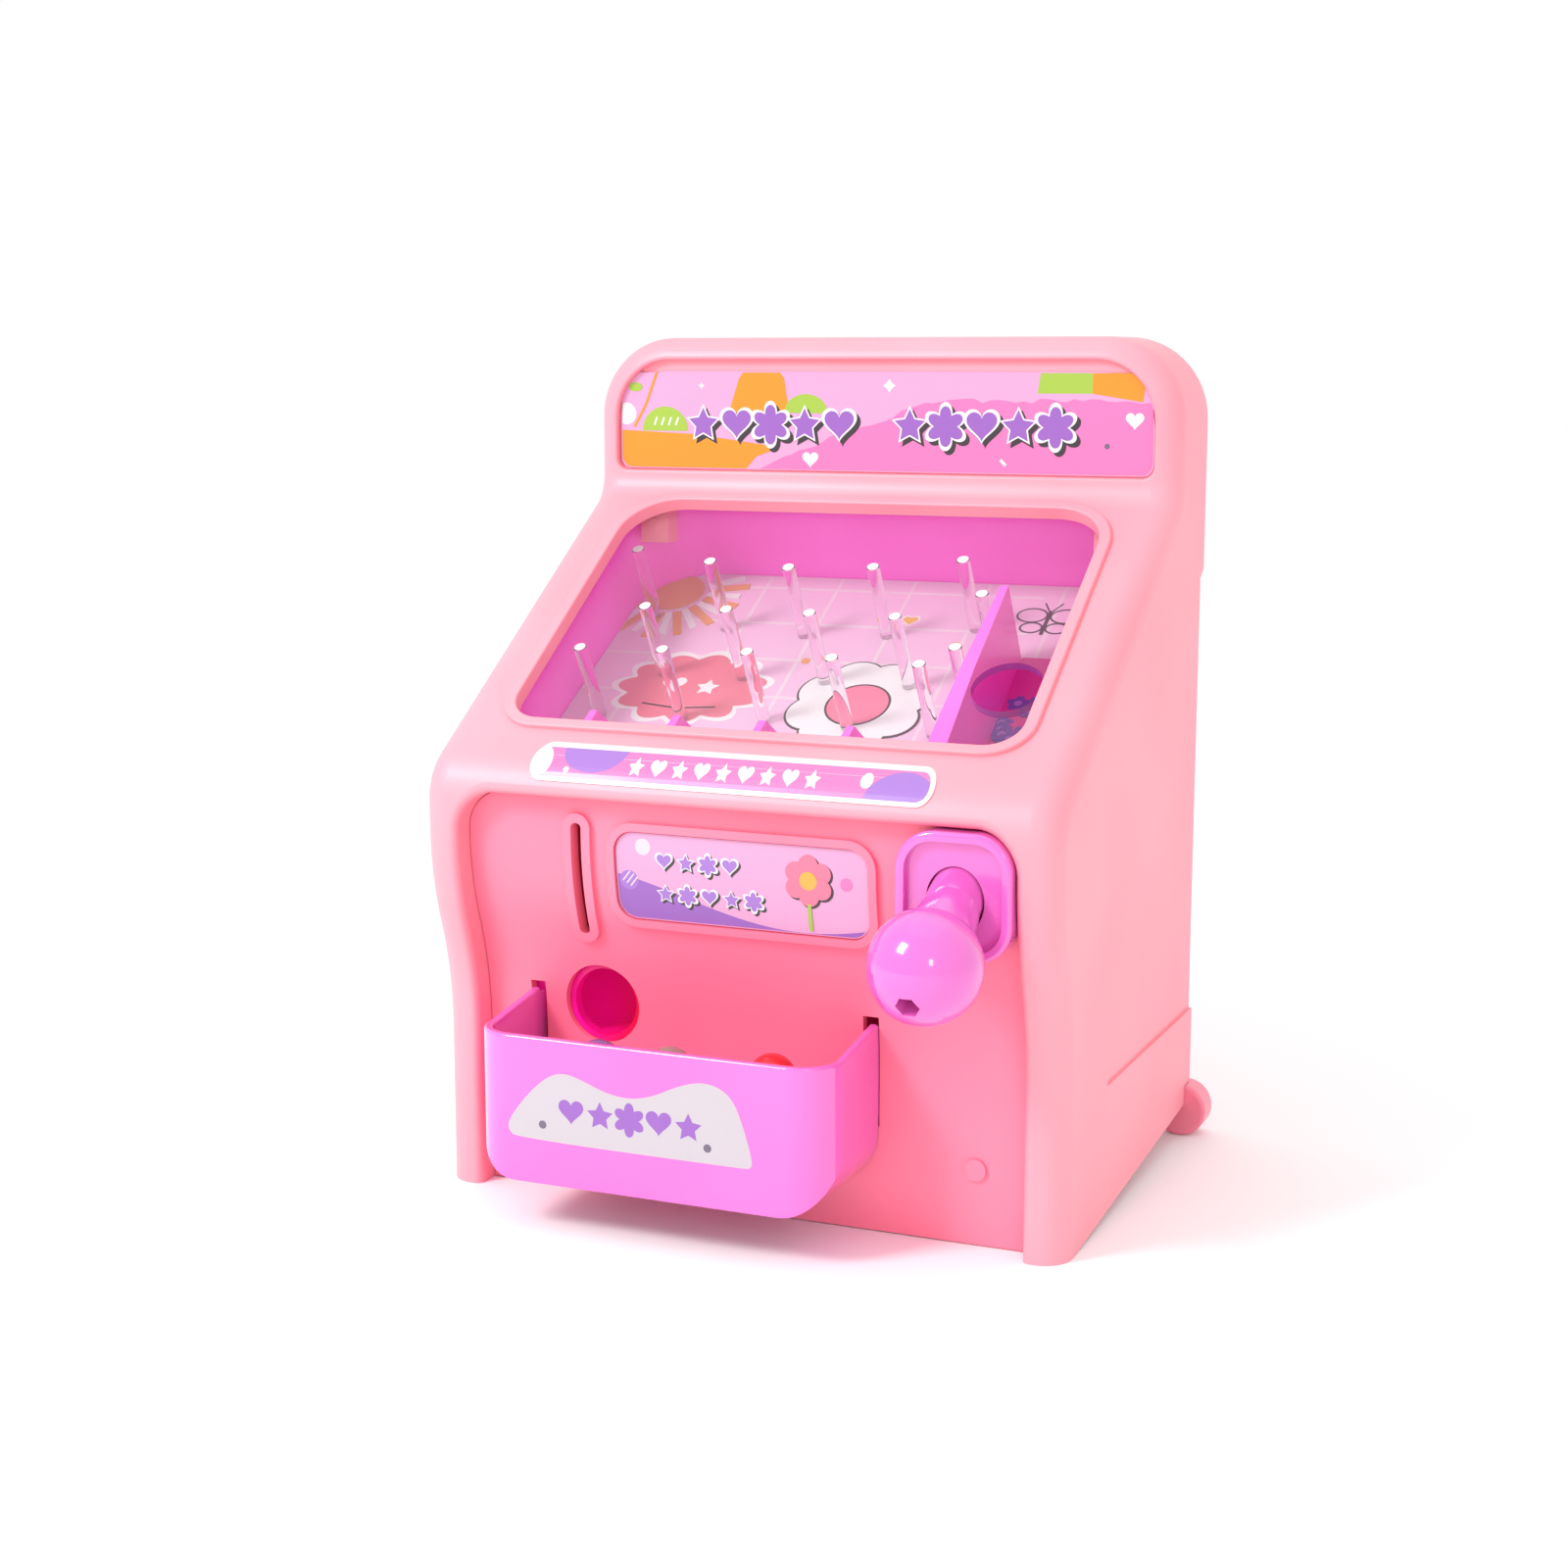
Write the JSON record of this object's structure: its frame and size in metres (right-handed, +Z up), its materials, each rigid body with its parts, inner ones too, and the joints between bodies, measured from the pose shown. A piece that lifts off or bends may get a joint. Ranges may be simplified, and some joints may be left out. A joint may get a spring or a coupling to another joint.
{
  "type": "tabletop pachinko machine",
  "caption": "Upright tabletop pachinko toy: a sloping clear window over a peg field, a spring shooter, a ball tray and a coin bank.",
  "frame": {"origin": "middle of the footprint box on the table, under the case; the footprint runs from the front of the shooter knob to the back of the rear feet", "axes": "+Z up, +Y to the back of the machine, +X to the player's right"},
  "size_m": [0.1732, 0.1574, 0.21],
  "materials": {
    "case_abs": "moulded pink ABS, soft gloss",
    "panel_abs": "moulded deeper pink ABS",
    "trim_abs": "moulded orchid ABS, glossy",
    "tub_abs": "moulded hot pink ABS",
    "clear_ps": "clear polystyrene",
    "printed_card": "printed coated card",
    "printed_sticker": "printed vinyl sticker",
    "tray_sticker": "printed vinyl sticker, off-white",
    "steel": "zinc-plated steel",
    "bush_pom": "natural acetal",
    "ball_plastic": "moulded coloured plastic"
  },
  "bodies": {
    "case": {"front_shell": "case_abs", "front_panel": "panel_abs", "back_cover": "case_abs", "base_plate": "case_abs", "rear_feet": "panel_abs", "case_screws": "steel", "window_lens": "clear_ps", "play_tub": "tub_abs", "playfield_card": "printed_card", "pegs": "clear_ps", "lane_divider": "tub_abs", "pocket_fins": "tub_abs", "sign_card": "printed_card", "strip_decal": "printed_sticker", "label_card": "printed_sticker", "tray": "trim_abs", "tray_decal": "tray_sticker", "balls": "ball_plastic", "plunger_plate": "trim_abs", "shooter_bush": "bush_pom", "shooter_spring": "steel", "ball_chute": "tub_abs", "coin_chute": "tub_abs", "door_pin": "steel"},
    "shooter": {"shooter_rod": "steel", "shooter_arm": "trim_abs", "shooter_knob": "trim_abs", "shooter_head": "bush_pom", "shooter_clip": "steel"},
    "door": {"coin_door": "case_abs"}
  },
  "joints": [
    {"name": "shooter_pull", "type": "slide", "parent": "case", "child": "shooter", "axis": [0, -0.866, -0.5], "range_m": [0, 0.011], "stiffness_N_per_m": 250, "springref_m": -0.012, "deforming": ["shooter_spring"]},
    {"name": "coin_door_hinge", "type": "hinge", "parent": "case", "child": "door", "pos_m": [0, 0.07182, 0.0185], "axis": [-1, 0, 0], "range_deg": [0, 95]}
  ]
}
